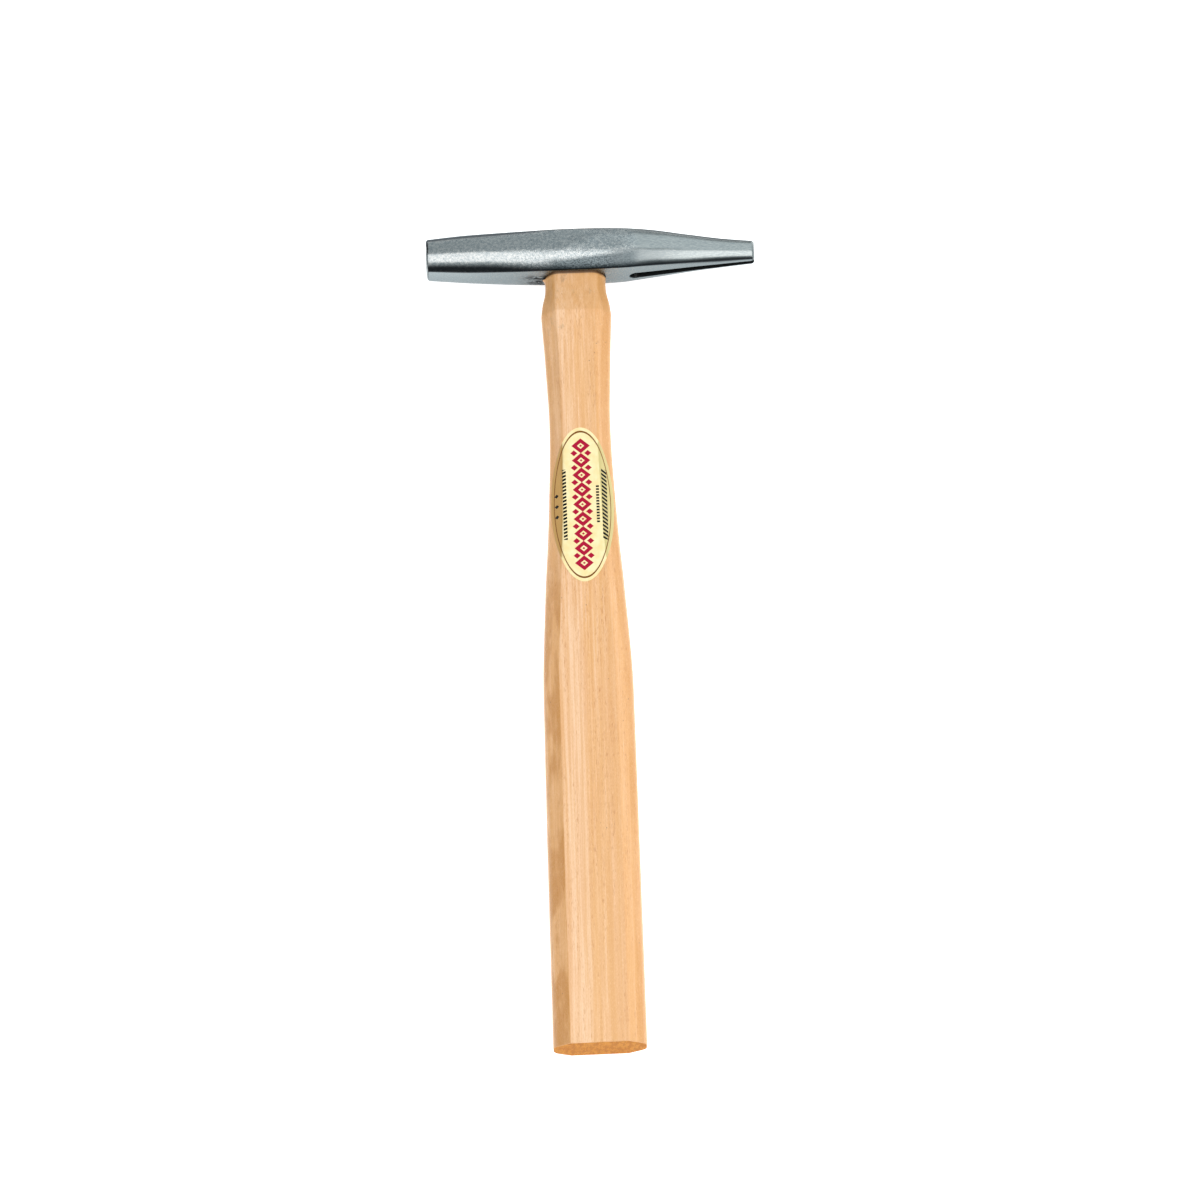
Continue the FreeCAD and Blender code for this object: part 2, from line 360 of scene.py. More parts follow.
def head_shell():
    """The forging before its eye and its slot are cut: one closed tube with a domed face and a flat tip."""
    vertices = []
    rows = []
    for x in head_places():
        half = half_section(x)
        ring = half + [(y, -z) for y, z in reversed(half[1:-1])]
        rise = head_values(x)["rise"]
        rows.append(add_row(vertices, [forged(x, y, z, rise) for y, z in ring]))
    faces = grid_faces(rows)
    for row, dome in ((rows[0], -FACE_DOME), (rows[-1], 0.0)):
        middle_y = sum(vertices[i][1] for i in row) / len(row)
        faces += close_end(vertices, row, HEAD_END_RINGS, domed(dome, middle_y))
    return make_object("head_forging", vertices, faces)


def through_cutter(name, outline_at, chamfer):
    """A bar along Y that flares where it crosses the underside and the top, to cut a chamfer there."""
    vertices = []
    rows = []
    stages = [
        (-1, 2 * chamfer, CUTTER_OVERRUN), (-1, 2 * chamfer, chamfer), (-1, 0.0, -chamfer),
        (1, 0.0, -chamfer), (1, 2 * chamfer, chamfer), (1, 2 * chamfer, CUTTER_OVERRUN),
    ]
    for side, grow, outward in stages:
        rows.append(add_row(vertices, [
            (x, crown_y(x, z, side) + side * outward, z) for x, z in outline_at(side, grow)
        ]))
    faces = grid_faces(rows) + [rows[0], rows[-1]]
    return make_object(name, vertices, faces)


def eye_outline_at(side, grow):
    return section_outline(EYE_OUTLINE if side < 0 else EYE_TOP_OUTLINE, grow=grow)


def slot_outline_at(side, grow):
    """The drilled root and the slot that narrows towards the tip, as (x, z), alike on both sides."""
    radius = SLOT_ROOT_RADIUS + grow
    root_half, tip_half = SLOT_ROOT_HALF_WIDTH + grow, SLOT_TIP_HALF_WIDTH + grow
    points = []
    for i in range(SLOT_ROOT_POINTS + 1):
        angle = math.pi * (0.5 + i / SLOT_ROOT_POINTS)
        points.append((SLOT_ROOT_X + radius * math.cos(angle), radius * math.sin(angle)))
    start_x, end_x = SLOT_ROOT_X + SLOT_ROOT_OVERLAP, TIP_X + CUTTER_END_OVERRUN
    lower, upper = [], []
    for i in range(SLOT_SIDE_POINTS + 1):
        x = start_x + (end_x - start_x) * i / SLOT_SIDE_POINTS
        half = root_half + (tip_half - root_half) * (x - SLOT_ROOT_X) / (TIP_X - SLOT_ROOT_X)
        lower.append((x, -half))
        upper.append((x, half))
    return points + lower + upper[::-1]


def make_head():
    head = head_shell()
    cutters = [
        through_cutter("eye_cutter", eye_outline_at, EYE_CHAMFER),
        through_cutter("slot_cutter", slot_outline_at, SLOT_CHAMFER),
    ]
    cut_away(head, cutters)
    for cutter in cutters:
        bpy.data.objects.remove(cutter)
    sharpen(head, HEAD_CREASE)
    return head


# ---------------------------------------------------------------- handle

# Sections along the handle: octagons with rounded corners.
# front: half the wide facet. side: half the narrow side facet.
# soft: radius beside the side facet. corner: radius beside the wide facet.
SHOULDER_Y = -21.8
EYE_EXIT_Y = -8.6
SHOULDER = dict(half_width=11.5, half_thickness=8.9, front=6.8, side=3.6, soft=2.6, corner=1.2)
NECK_STATIONS = [
    (SHOULDER_Y, SHOULDER),
    (-18.2, dict(half_width=11.05, half_thickness=8.35, front=7.0, side=3.3, soft=2.8, corner=1.8)),
    (-13.2, dict(half_width=10.0, half_thickness=7.1, front=7.0, side=2.8, soft=3.0, corner=2.8)),
    (EYE_EXIT_Y, EYE_OUTLINE),
]
BUTT_HALF = GRIP_HALF_WIDTH + 0.15
PALM_HALF = GRIP_HALF_WIDTH - 0.15
GRIP_STATIONS = [
    (BUTT_Y, dict(half_width=BUTT_HALF, half_thickness=CHEEK, front=9.2, side=4.3, soft=5.0, corner=1.0)),
    (-150.0, dict(half_width=PALM_HALF, half_thickness=CHEEK, front=9.2, side=4.2, soft=5.0, corner=1.2)),
    (-119.0, dict(half_width=13.0, half_thickness=9.1, front=7.9, side=3.8, soft=4.2, corner=1.3)),
    (-88.0, dict(half_width=10.9, half_thickness=8.25, front=6.4, side=3.2, soft=3.3, corner=1.3)),
    (-60.0, dict(half_width=9.9, half_thickness=7.9, front=5.9, side=3.0, soft=3.0, corner=1.3)),
    (-41.0, dict(half_width=10.5, half_thickness=8.2, front=6.1, side=3.2, soft=2.8, corner=1.2)),
    (SHOULDER_Y, SHOULDER),
]
BUTT_RIM = 0.5
BUTT_SLANT = math.tan(math.radians(0.6))
BUTT_SLANT_REACH = 12.0
HANDLE_END_RINGS = 9
HANDLE_CREASE = 40
SHOULDER_EASE = 0.35
ARC_STEPS = 6
FRONT_STEPS = 17
CHAMFER_STEPS = 7
SIDE_STEPS = 6
# How much a facet's half width grows when an octagon's outline grows by one.
FACET_GROWTH = 0.41
TENON_CLEARANCE = 0.08
TENON_PROUD = 0.1
TENON_STEPS = (0.01, 0.1, 0.3, 0.5, 0.7, 0.9, 1.0)

# The collar of wood that the eye's edge pushed up: its length, its rise, and one splinter on the left.
LIP_LENGTH = 1.3
LIP_RISE = 0.45
LIP_START = 0.55
SPLINTER_Z, SPLINTER_HALF_WIDTH, SPLINTER_RISE = 1.5, 0.9, 0.9


def section_outline(values, grow=0.0):
    """An octagon with rounded corners as (x, z), with the same number of points for every section."""
    width = values["half_width"] + grow
    thickness = values["half_thickness"] + grow
    side = values["side"] + grow * FACET_GROWTH
    front = values["front"] + grow * FACET_GROWTH
    soft = values["soft"]
    quarter = [(width, side, soft), (front, thickness, values["corner"])]
    corners = []
    for sign_x, sign_z, order in ((1, 1, 1), (-1, 1, -1), (-1, -1, 1), (1, -1, -1)):
        for x, z, radius in quarter[::order]:
            corners.append((Vector((sign_x * x, sign_z * z)), radius))
    count = len(corners)
    arcs = []
    for i, (corner, radius) in enumerate(corners):
        to_last = (corners[i - 1][0] - corner).normalized()
        to_next = (corners[(i + 1) % count][0] - corner).normalized()
        half_angle = to_last.angle(to_next) / 2
        reach = radius / math.tan(half_angle)
        bisector = (to_last + to_next).normalized()
        centre = corner + bisector * (radius / math.sin(half_angle))
        start = corner + to_last * reach - centre
        end = corner + to_next * reach - centre
        turn = start.angle_signed(end)
        arc = []
        for k in range(ARC_STEPS + 1):
            arc.append(centre + Matrix.Rotation(-turn * k / ARC_STEPS, 2) @ start)
        arcs.append(arc)
    runs = [CHAMFER_STEPS, FRONT_STEPS, CHAMFER_STEPS, SIDE_STEPS]
    points = []
    for i, arc in enumerate(arcs):
        points.extend(arc)
        following = arcs[(i + 1) % count][0]
        steps = runs[i % 4]
        for k in range(1, steps):
            points.append(arc[-1].lerp(following, k / steps))
    return [(point.x, point.y) for point in points]


def handle_values(y):
    stations = NECK_STATIONS if y > SHOULDER_Y else GRIP_STATIONS
    return {key: ease(stations, key, y) for key in stations[0][1]}


def blended_values(y):
    """The handle's section, with the shoulder's crease eased over a short length as sanding leaves it."""
    total = {}
    for offset, weight in ((-SHOULDER_EASE, 0.25), (0.0, 0.5), (SHOULDER_EASE, 0.25)):
        for key, value in handle_values(y + offset).items():
            total[key] = total.get(key, 0.0) + weight * value
    return total


def handle_places():
    """Where along Y the sections are taken: a millimetre apart, and closer at the ends and shoulder."""
    places = [BUTT_Y + step for step in rim_steps(BUTT_RIM, RIM_POINTS)]
    low, high = BUTT_Y + BUTT_RIM, EYE_EXIT_Y - 1.2
    count = int(high - low)
    places += [low + (high - low) * i / count for i in range(1, count)]
    places += [SHOULDER_Y + offset for offset in (-SHOULDER_EASE, 0.0, SHOULDER_EASE)]
    places += [EYE_EXIT_Y - offset for offset in (1.2, 0.9, 0.6, 0.35, 0.15)]
    return sorted(places)


def worked(point):
    """Moves a point of the handle slightly, as hand sanding and the wood's movement leave it."""
    x, y, z = point
    radial = Vector((x, 0, z))
    depth = 0.10 * wobble((x * 0.7, y * 0.12, z * 0.7), 6.0, 3.3)
    depth += 0.05 * wobble((x, y * 0.25, z), 3.0, 7.9)
    moved = radial + radial.normalized() * depth
    return (moved.x, y, moved.z)


def sheared_lip(x, y, z):
    """The thin collar of wood pushed up where the handle was driven into the eye."""
    distance = EYE_EXIT_Y - y
    if not 0 <= distance < LIP_LENGTH:
        return (x, y, z)
    nearness = 1 - distance / LIP_LENGTH
    side = max(0.0, abs(x) / EYE_OUTLINE["half_width"] - LIP_START) / (1 - LIP_START)
    rise = LIP_RISE * side * nearness ** 2 * (0.75 + 0.5 * wobble((x, y * 3, z), 1.3, 4.4))
    splinter = 0.0
    if x < 0:
        splinter = SPLINTER_RISE * math.exp(-((z - SPLINTER_Z) / SPLINTER_HALF_WIDTH) ** 2) * nearness
    return (x + math.copysign(rise + splinter, x), y, z)


def butt_slant(x, y):
    """How far the saw left the butt out of square, fading out along the grip."""
    return x * BUTT_SLANT * max(0.0, 1 - (y - BUTT_Y) / BUTT_SLANT_REACH)


def sawn_butt(point, scale):
    x, y, z = point
    return (x * scale, BUTT_Y + x * scale * BUTT_SLANT, z * scale)


def sanded_top(x, z):
    """A point of the tenon's end, which follows the crown of the head and stands just proud of it."""
    return (x, crown_y(x, z, 1) + TENON_PROUD, z)


def tenon_end(point, scale):
    x, y, z = point
    return sanded_top(x * scale, z * scale)


def make_handle():
    vertices = []
    rows = []
    for y in handle_places():
        inset = rounding_inset(y - BUTT_Y, BUTT_RIM)
        outline = section_outline(blended_values(y), grow=-inset)
        points = [sheared_lip(*worked((x, y, z))) for x, z in outline]
        rows.append(add_row(vertices, [(x, y + butt_slant(x, y), z) for x, y, z in points]))
    for along in TENON_STEPS:
        values = {key: EYE_OUTLINE[key] * (1 - along) + EYE_TOP_OUTLINE[key] * along for key in EYE_OUTLINE}
        points = []
        for x, z in section_outline(values, grow=-TENON_CLEARANCE):
            top_y = sanded_top(x, z)[1]
            points.append((x, EYE_EXIT_Y + (top_y - EYE_EXIT_Y) * along, z))
        rows.append(add_row(vertices, points))
    faces = grid_faces(rows)
    faces += close_end(vertices, rows[0], HANDLE_END_RINGS, sawn_butt)
    faces += close_end(vertices, rows[-1], HANDLE_END_RINGS, tenon_end)
    handle = make_object("hickory_handle", vertices, faces)
    cut_away(handle, [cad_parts["wood_wedge"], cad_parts["steel_wedge"]])
    drop_crumbs(handle)
    sharpen(handle, HANDLE_CREASE)
    return handle


# ---------------------------------------------------------------- label

LABEL_LOW, LABEL_HIGH = (Vector(corner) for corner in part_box("label"))
LABEL_CENTRE_Y = (middle("label").y - CROSSING.y) / MM
LABEL_HALF_LENGTH = (LABEL_HIGH.y - LABEL_LOW.y) / MM / 2
LABEL_HALF_WIDTH = (LABEL_HIGH.x - LABEL_LOW.x) / MM / 2
FOIL_THICKNESS = 0.1
FOIL_RIPPLE = 0.02
FOIL_CREASE = 50
FOIL_RINGS, FOIL_SPOKES = 26, 120


def front_height(x, y):
    """Height of the handle's upper surface above its axis at a place seen from above."""
    outline = [(px, pz) for px, pz in section_outline(blended_values(y)) if pz > 0]
    outline.sort()
    for (x0, z0), (x1, z1) in zip(outline, outline[1:]):
        if x0 <= x <= x1:
            height = z0 + (z1 - z0) * (x - x0) / max(1e-9, x1 - x0)
            return worked((x, y, height))[2]
    return 0.0


def make_label():
    """An oval of foil that follows the three front facets."""
    vertices = []
    top, bottom = [], []
    for lift, rows in ((FOIL_THICKNESS, top), (0.0, bottom)):
        for i in range(FOIL_RINGS + 1):
            scale = 1 - i / FOIL_RINGS
            points = []
            for k in range(FOIL_SPOKES):
                angle = 2 * math.pi * k / FOIL_SPOKES
                x = LABEL_HALF_WIDTH * scale * math.cos(angle)
                y = LABEL_CENTRE_Y + LABEL_HALF_LENGTH * scale * math.sin(angle)
                ripple = FOIL_RIPPLE * wobble((x, y, 0), 2.2, 6.2) if lift else 0.0
                points.append((x, y, front_height(x, y) + lift + ripple))
            rows.append(add_row(vertices, points))
    faces = grid_faces(top) + grid_faces(bottom)
    faces += strip_faces(top[0], bottom[0])
    label = make_object("foil_label", vertices, faces)
    sharpen(label, FOIL_CREASE)
    return label


# ---------------------------------------------------------------- materials


class Nodes:
    """Short forms for the nodes that the materials and the world are made of."""

    def __init__(self, tree):
        self.nodes = tree.nodes
        self.links = tree.links

    def link(self, source, socket):
        self.links.new(source, socket)

    def fill(self, socket, value):
        if isinstance(value, bpy.types.NodeSocket):
            self.link(value, socket)
        else:
            socket.default_value = value

    def scaled(self, source, scale, offset=(0, 0, 0)):
        node = self.nodes.new("ShaderNodeMapping")
        node.inputs["Scale"].default_value = scale
        node.inputs["Location"].default_value = offset
        self.link(source, node.inputs["Vector"])
        return node.outputs["Vector"]

    def noise(self, source, scale, detail=2.0, roughness=0.5, distortion=0.0, offset=(0, 0, 0)):
        node = self.nodes.new("ShaderNodeTexNoise")
        self.link(self.scaled(source, scale, offset), node.inputs["Vector"])
        node.inputs["Scale"].default_value = 1.0
        node.inputs["Detail"].default_value = detail
        node.inputs["Roughness"].default_value = roughness
        node.inputs["Distortion"].default_value = distortion
        return node.outputs["Fac"]

    def cells(self, source, scale, offset=(0, 0, 0)):
        node = self.nodes.new("ShaderNodeTexVoronoi")
        self.link(self.scaled(source, scale, offset), node.inputs["Vector"])
        node.inputs["Scale"].default_value = 1.0
        return node.outputs["Distance"]

    def math(self, operation, first, second=0.0):
        node = self.nodes.new("ShaderNodeMath")
        node.operation = operation
        self.fill(node.inputs[0], first)
        self.fill(node.inputs[1], second)
        return node.outputs[0]

    def times(self, first, second):
        return self.math("MULTIPLY", first, second)

    def over(self, first, second):
        return self.math("DIVIDE", first, second)

    def plus(self, first, second):
        return self.math("ADD", first, second)

    def minus(self, first, second):
        return self.math("SUBTRACT", first, second)

    def most(self, first, second):
        return self.math("MAXIMUM", first, second)

    def size(self, value):
        return self.math("ABSOLUTE", value)

    def between(self, source, low, high, out_low=0.0, out_high=1.0):
        """Eases from one value to another over a range of the source, which may run downwards."""
        node = self.nodes.new("ShaderNodeMapRange")
        node.interpolation_type = "SMOOTHSTEP"
        self.link(source, node.inputs["Value"])
        node.inputs["From Min"].default_value = low
        node.inputs["From Max"].default_value = high
        node.inputs["To Min"].default_value = out_low
        node.inputs["To Max"].default_value = out_high
        return node.outputs["Result"]

    def span(self, source, rise, fall):
        """A mask that rises over one range of the source and falls over another."""
        return self.times(self.between(source, *rise), self.between(source, *fall))

    def mix(self, amount, first, second):
        node = self.nodes.new("ShaderNodeMix")
        node.data_type = "RGBA"
        node.clamp_factor = False
        self.fill(node.inputs["Factor"], amount)
        self.fill(node.inputs["A"], first)
        self.fill(node.inputs["B"], second)
        return node.outputs["Result"]

    def tint(self, colour, mask, strength, other):
        """The colour with another laid over it where the mask is full."""
        return self.mix(self.times(mask, strength), colour, other)

    def axes(self, source):
        node = self.nodes.new("ShaderNodeSeparateXYZ")
        self.link(source, node.inputs[0])
        return node.outputs

    def bump(self, height, distance, previous=None):
        node = self.nodes.new("ShaderNodeBump")
        node.inputs["Strength"].default_value = 1.0
        node.inputs["Distance"].default_value = distance
        self.link(height, node.inputs["Height"])
        if previous is not None:
            self.link(previous, node.inputs["Normal"])
        return node.outputs["Normal"]


class Shader(Nodes):
    """A Principled material whose place is in millimetres about the crossing of the two axes."""

    def __init__(self, name):
        self.material = bpy.data.materials.new(name)
        self.material.use_nodes = True
        super().__init__(self.material.node_tree)
        self.principled = self.nodes["Principled BSDF"]
        place = self.nodes.new("ShaderNodeTexCoord")
        self.place = self.scaled(place.outputs["Object"], (1 / MM, 1 / MM, 1 / MM), tuple(-CROSSING / MM))

    def normal_axes(self):
        geometry = self.nodes.new("ShaderNodeNewGeometry")
        return self.axes(geometry.outputs["Normal"])

    def set(self, **values):
        for name, value in values.items():
            self.fill(self.principled.inputs[name.replace("_", " ")], value)


def srgb(red, green, blue):
    """A display colour, 0 to 255, as the linear colour that shaders use."""
    linear = []
    for value in (red, green, blue):
        value /= 255
        linear.append(value / 12.92 if value <= 0.04045 else ((value + 0.055) / 1.055) ** 2.4)
    return (*linear, 1.0)


# Finishes and painted shade of the head, in millimetres from the eye's centre: where each fades in, and
# then out.
HAMMERED_X = ((-30.0, -8.0), (23.0, 17.0))
LOWER_CHEEK_SHADE_X = ((-14.0, -5.0), (27.0, 19.0))
SMUDGED_X = ((-20.0, -12.0), (-8.6, -9.6))
DRAWN_X = (18.0, 23.0)
TAPER_SHADE_X = (9.0, 15.0)
TAPER_SHADE_FADE_X = (24.0, 40.0)
SHADED_UNDERSIDE_X = (-45.0, -16.0)
SLOT_X = (17.5, 18.0)
FACE_RIM_SHADE_X = (FACE_X + 3.0, FACE_X + 2.0)
SLOT_Z = (2.5, 2.1)
SMUDGED_Y = (-6.2, -6.8)
SMUDGED_Z = (5.0, 2.0)


def cheek_colour(s, hammered, peel, grit, pitting):
    """Tumbled steel, with dark specks and pits that are strongest round the eye."""
    colour = s.mix(s.between(peel, 0.36, 0.64), srgb(143, 147, 149), srgb(172, 172, 171))
    speckle = s.times(s.between(grit, 0.49, 0.57), s.between(hammered, 0.0, 1.0, 0.22, 0.50))
    colour = s.mix(speckle, colour, srgb(106, 115, 118))
    return s.mix(pitting, colour, srgb(66, 75, 79))


def forged_steel():
    """Mottled cheeks round the eye, smoother drawn ends, ground flats, and painted shade on the lower
    cheeks, the taper, the underside, the edges, the face's rim and in the slot.
    """
    s = Shader("forged_steel")
    x, y, z = s.axes(s.place)
    nx, ny, nz = s.normal_axes()
    away_x, away_y = s.size(nx), s.size(ny)
    flat = s.between(away_y, 0.86, 0.97)
    hammered = s.span(x, *HAMMERED_X)

    coarse = s.noise(s.place, (0.30, 0.5, 0.5), detail=3, roughness=0.6)
    peel = s.noise(s.place, (1.0, 1.2, 1.2), detail=4, roughness=0.65)
    grit = s.noise(s.place, (2.4, 2.8, 2.8), detail=3, roughness=0.7)
    pits = s.between(s.cells(s.place, (0.9, 1.2, 1.2)), 0.28, 0.06)
    brush = s.noise(s.place, (0.5, 14.0, 14.0), detail=3, roughness=0.7)
    scratches = s.noise(s.place, (0.22, 5.0, 5.0), detail=3, roughness=0.7, offset=(1.0, 4.0, 0.0))
    smears = s.noise(s.place, (0.55, 0.8, 0.8), detail=4, roughness=0.75, offset=(3.0, 0, 7.0))
    pitting = s.times(pits, s.between(coarse, 0.38, 0.60))
    pitting = s.times(pitting, s.between(hammered, 0.0, 1.0, 0.35, 0.85))

    # The lower cheek beside the eye is painted dark as shade, mottled by grit, and the shade's upper edge
    # rises towards the tip.
    colour = cheek_colour(s, hammered, peel, grit, pitting)
    leaning = s.minus(ny, s.times(x, 0.006))
    lower_cheek_shade = s.times(s.span(x, *LOWER_CHEEK_SHADE_X), s.between(leaning, -0.24, -0.38))
    lower_cheek_shade_colour = s.mix(s.between(grit, 0.46, 0.55), srgb(86, 94, 97), srgb(40, 47, 51))
    colour = s.tint(colour, lower_cheek_shade, 0.92, lower_cheek_shade_colour)

    # The drawn end is smoother and evenly scratched, and the lower side of its taper is painted duller as
    # shade.
    drawn_colour = s.mix(s.between(scratches, 0.35, 0.65), srgb(135, 139, 140), srgb(162, 163, 161))
    colour = s.tint(colour, s.between(x, *DRAWN_X), 0.8, drawn_colour)
    taper_shade = s.times(s.between(x, *TAPER_SHADE_X), s.between(ny, -0.07, -0.16))
    colour = s.tint(colour, taper_shade, s.between(x, *TAPER_SHADE_FADE_X, 0.62, 0.25), srgb(84, 89, 91))

    # The top and the underside are ground along the head, and the underside is painted darker as shade
    # towards the handle.
    ground = s.mix(s.between(brush, 0.3, 0.7), srgb(134, 142, 144), srgb(152, 158, 160))
    shaded = s.times(s.between(x, *SHADED_UNDERSIDE_X), s.between(ny, -0.7, -0.9))
    ground = s.tint(ground, shaded, 0.40, srgb(96, 102, 105))
    colour = s.mix(flat, colour, ground)

    # Painted shade darkens the cheeks' edges, the face's rim and the slot, and dark scale is left beside
    # the eye.
    edge = s.times(s.span(away_y, (0.50, 0.66), (0.97, 0.90)), s.between(away_x, 0.6, 0.35))
    colour = s.tint(colour, edge, 0.88, srgb(34, 38, 42))
    # The mask named scale here is painted shade on the face's rim, where it turns up towards the top.
    scale = s.times(s.between(nx, -0.15, -0.40), s.between(ny, 0.12, 0.32))
    colour = s.tint(colour, s.times(scale, s.between(x, *FACE_RIM_SHADE_X)), 0.95, srgb(28, 30, 33))
    under_eye = s.times(s.between(y, *SMUDGED_Y), s.between(z, *SMUDGED_Z))
    smudge = s.times(s.times(s.span(x, *SMUDGED_X), under_eye), s.between(smears, 0.42, 0.54))
    colour = s.tint(colour, smudge, 0.95, srgb(22, 24, 26))
    # Painted shade on the slot's walls.
    slot_shade = s.times(s.between(x, *SLOT_X), s.between(s.size(z), *SLOT_Z))
    slot_shade = s.times(slot_shade, s.between(away_y, 0.5, 0.3))
    colour = s.tint(colour, slot_shade, 0.94, srgb(20, 21, 23))

    rough = s.plus(s.between(peel, 0.25, 0.75, 0.13, 0.21), s.times(grit, 0.06))
    rough = s.plus(rough, s.times(flat, 0.08))
    rough = s.plus(rough, s.times(s.most(smudge, slot_shade), 0.3))
    height = s.plus(s.times(peel, 0.8), s.times(grit, 0.25))
    height = s.minus(height, s.times(pitting, 0.35))
    quiet = s.times(s.between(flat, 0.0, 1.0, 1.0, 0.3), s.between(hammered, 0.0, 1.0, 0.22, 1.0))
    normal = s.bump(s.times(height, quiet), 0.06 * MM)
    normal = s.bump(s.times(brush, flat), 0.012 * MM, previous=normal)
    s.set(
        Base_Color=colour, Metallic=1.0, Roughness=rough, Normal=normal,
        Specular_Tint=(0.62, 0.65, 0.67, 1),
    )
    return s.material


# Places on the wood, in millimetres from the crossing: the pale strip, the tan side, and the neck with its
# painted shade and shadow.
PALE_X = ((-9.5, -7.5), (0.0, -3.5))
TAN_X = (1.5, 8.0)
BROW_Z = ((3.4, 4.6), (7.4, 6.2))
STAIN_Y = (-100.0, -130.0)
NECK_SHADE_Y = (SHOULDER_Y - 0.3, SHOULDER_Y + 0.5)
GRIME_Y = (SHOULDER_Y - 26.0, SHOULDER_Y + 4.0)
EYE_GAP_SHADOW_Y = ((-8.45, -7.95), (-6.0, -6.6))


def grain_colour(s, x, streaks, fibres):
    """Pinkish and ochre bands under long streaks and fine fibres, with a paler strip left of the middle."""
    drift = s.noise(s.place, (0.06, 0.014, 0.06), detail=2)
    bands = s.noise(s.place, (0.46, 0.010, 0.46), detail=3, roughness=0.6, distortion=0.35)
    colour = s.mix(s.between(bands, 0.36, 0.64), srgb(240, 188, 143), srgb(229, 169, 108))
    colour = s.mix(s.between(streaks, 0.40, 0.66, 0.0, 0.55), colour, srgb(214, 150, 92))
    colour = s.mix(s.between(streaks, 0.47, 0.30, 0.0, 0.50), colour, srgb(247, 206, 172))
    colour = s.mix(s.between(drift, 0.35, 0.7, 0.0, 0.30), colour, srgb(232, 178, 118))
    colour = s.mix(s.between(fibres, 0.38, 0.72, 0.0, 0.30), colour, srgb(204, 142, 86))
    pale = s.times(s.span(x, *PALE_X), s.between(streaks, 0.58, 0.42, 0.2, 0.55))
    return s.mix(pale, colour, srgb(240, 197, 160))


def facet_stains(s, colour, patches):
    """The chamfers are cut across the grain, so they show tan and brown patches."""
    x, y, z = s.axes(s.place)
    nx, ny, nz = s.normal_axes()
    tan_side = s.times(s.between(x, *TAN_X), s.between(nz, 0.2, 0.6))
    colour = s.tint(colour, tan_side, 0.38, srgb(218, 154, 92))
    turned = s.times(s.between(nx, -0.30, -0.62), s.between(nx, -0.97, -0.90))
    stained = s.times(s.between(patches, 0.42, 0.54), s.between(y, *STAIN_Y, 0.35, 1.0))
    colour = s.tint(colour, turned, 0.40, srgb(218, 158, 86))
    colour = s.tint(colour, s.times(turned, stained), 0.75, srgb(192, 126, 50))
    brow = s.times(s.between(nx, 0.5, 0.7), s.span(z, *BROW_Z))
    return s.tint(colour, brow, s.between(patches, 0.3, 0.6, 0.3, 0.8), srgb(208, 142, 72))


def end_grain_colour(s):
    """Golden growth rings with dark open tubes."""
    rings = s.noise(s.place, (0.9, 0.0, 0.22), detail=3, roughness=0.6, distortion=0.6)
    tubes = s.cells(s.place, (2.2, 0.0, 1.6))
    colour = s.mix(s.between(rings, 0.38, 0.62), srgb(208, 136, 46), srgb(186, 112, 30))
    return s.mix(s.between(tubes, 0.05, 0.30, 0.55, 0.0), colour, srgb(134, 70, 14))


def hickory(name="lacquered_hickory", coat=0.25):
    """Pale hickory with long streaks, short open pores, a neck painted darker as shade, a painted shadow at
    the eye, and golden end grain.
    """
    s = Shader(name)
    y = s.axes(s.place)["Y"]
    end = s.between(s.size(s.normal_axes()["Y"]), 0.75, 0.93)

    streaks = s.noise(s.place, (1.5, 0.020, 1.5), detail=3, roughness=0.65)
    fibres = s.noise(s.place, (5.0, 0.16, 5.0), detail=3, roughness=0.65)
    dashes = s.noise(s.place, (5.0, 0.42, 5.0), detail=2, roughness=0.5, offset=(4.0, 2.0, 1.0))
    pore_field = s.noise(s.place, (0.7, 0.03, 0.7), detail=2, offset=(9.0, 5.0, 3.0))
    pores = s.times(s.between(dashes, 0.57, 0.66), s.between(pore_field, 0.44, 0.60))
    specks = s.between(s.cells(s.place, (0.24, 0.15, 0.24), offset=(2.0, 7.0, 5.0)), 0.05, 0.02)
    patches = s.noise(s.place, (0.12, 0.035, 0.12), detail=3, roughness=0.6, offset=(5.0, 1.0, 8.0))
    flecks = s.noise(s.place, (7.0, 1.1, 7.0), detail=3, roughness=0.7, offset=(6.0, 3.0, 1.0))
    dirt = s.noise(s.place, (0.35, 0.16, 0.35), detail=4, roughness=0.7, offset=(1.0, 6.0, 2.0))

    colour = grain_colour(s, s.axes(s.place)["X"], streaks, fibres)
    colour = facet_stains(s, colour, patches)
    colour = s.mix(s.between(flecks, 0.50, 0.66, 0.0, 0.28), colour, srgb(208, 146, 90))
    colour = s.mix(s.between(flecks, 0.48, 0.34, 0.0, 0.25), colour, srgb(252, 216, 180))
    colour = s.tint(colour, pores, 0.55, srgb(186, 114, 58))
    colour = s.tint(colour, specks, 0.7, srgb(128, 80, 48))

    # The neck above the shoulder is painted darker as shade on its slope, it is a little dirty, and a dark
    # shadow is painted where it enters the eye.
    colour = s.tint(colour, s.between(y, *NECK_SHADE_Y), 0.35, srgb(206, 150, 92))
    grime = s.times(s.between(dirt, 0.58, 0.72), s.between(y, *GRIME_Y))
    colour = s.tint(colour, grime, 0.45, srgb(160, 124, 92))
    # Painted shadow in the gap where the wood enters the eye.
    colour = s.tint(colour, s.span(y, *EYE_GAP_SHADOW_Y), 0.85, srgb(58, 36, 22))
    colour = s.mix(end, colour, end_grain_colour(s))

    rough = s.plus(s.between(fibres, 0.3, 0.7, 0.40, 0.52), s.times(pores, 0.15))
    rough = s.plus(rough, s.times(end, 0.45))
    grain = s.minus(s.times(fibres, 0.5), s.times(pores, 0.3))
    grain = s.plus(grain, s.times(streaks, 0.5))
    normal = s.bump(grain, 0.05 * MM)
    lacquer = s.times(s.minus(1.0, end), coat)
    s.set(
        Base_Color=colour, Roughness=rough, Normal=normal, Coat_Weight=lacquer, Coat_Roughness=0.25,
        Specular_IOR_Level=0.4,
    )
    return s.material


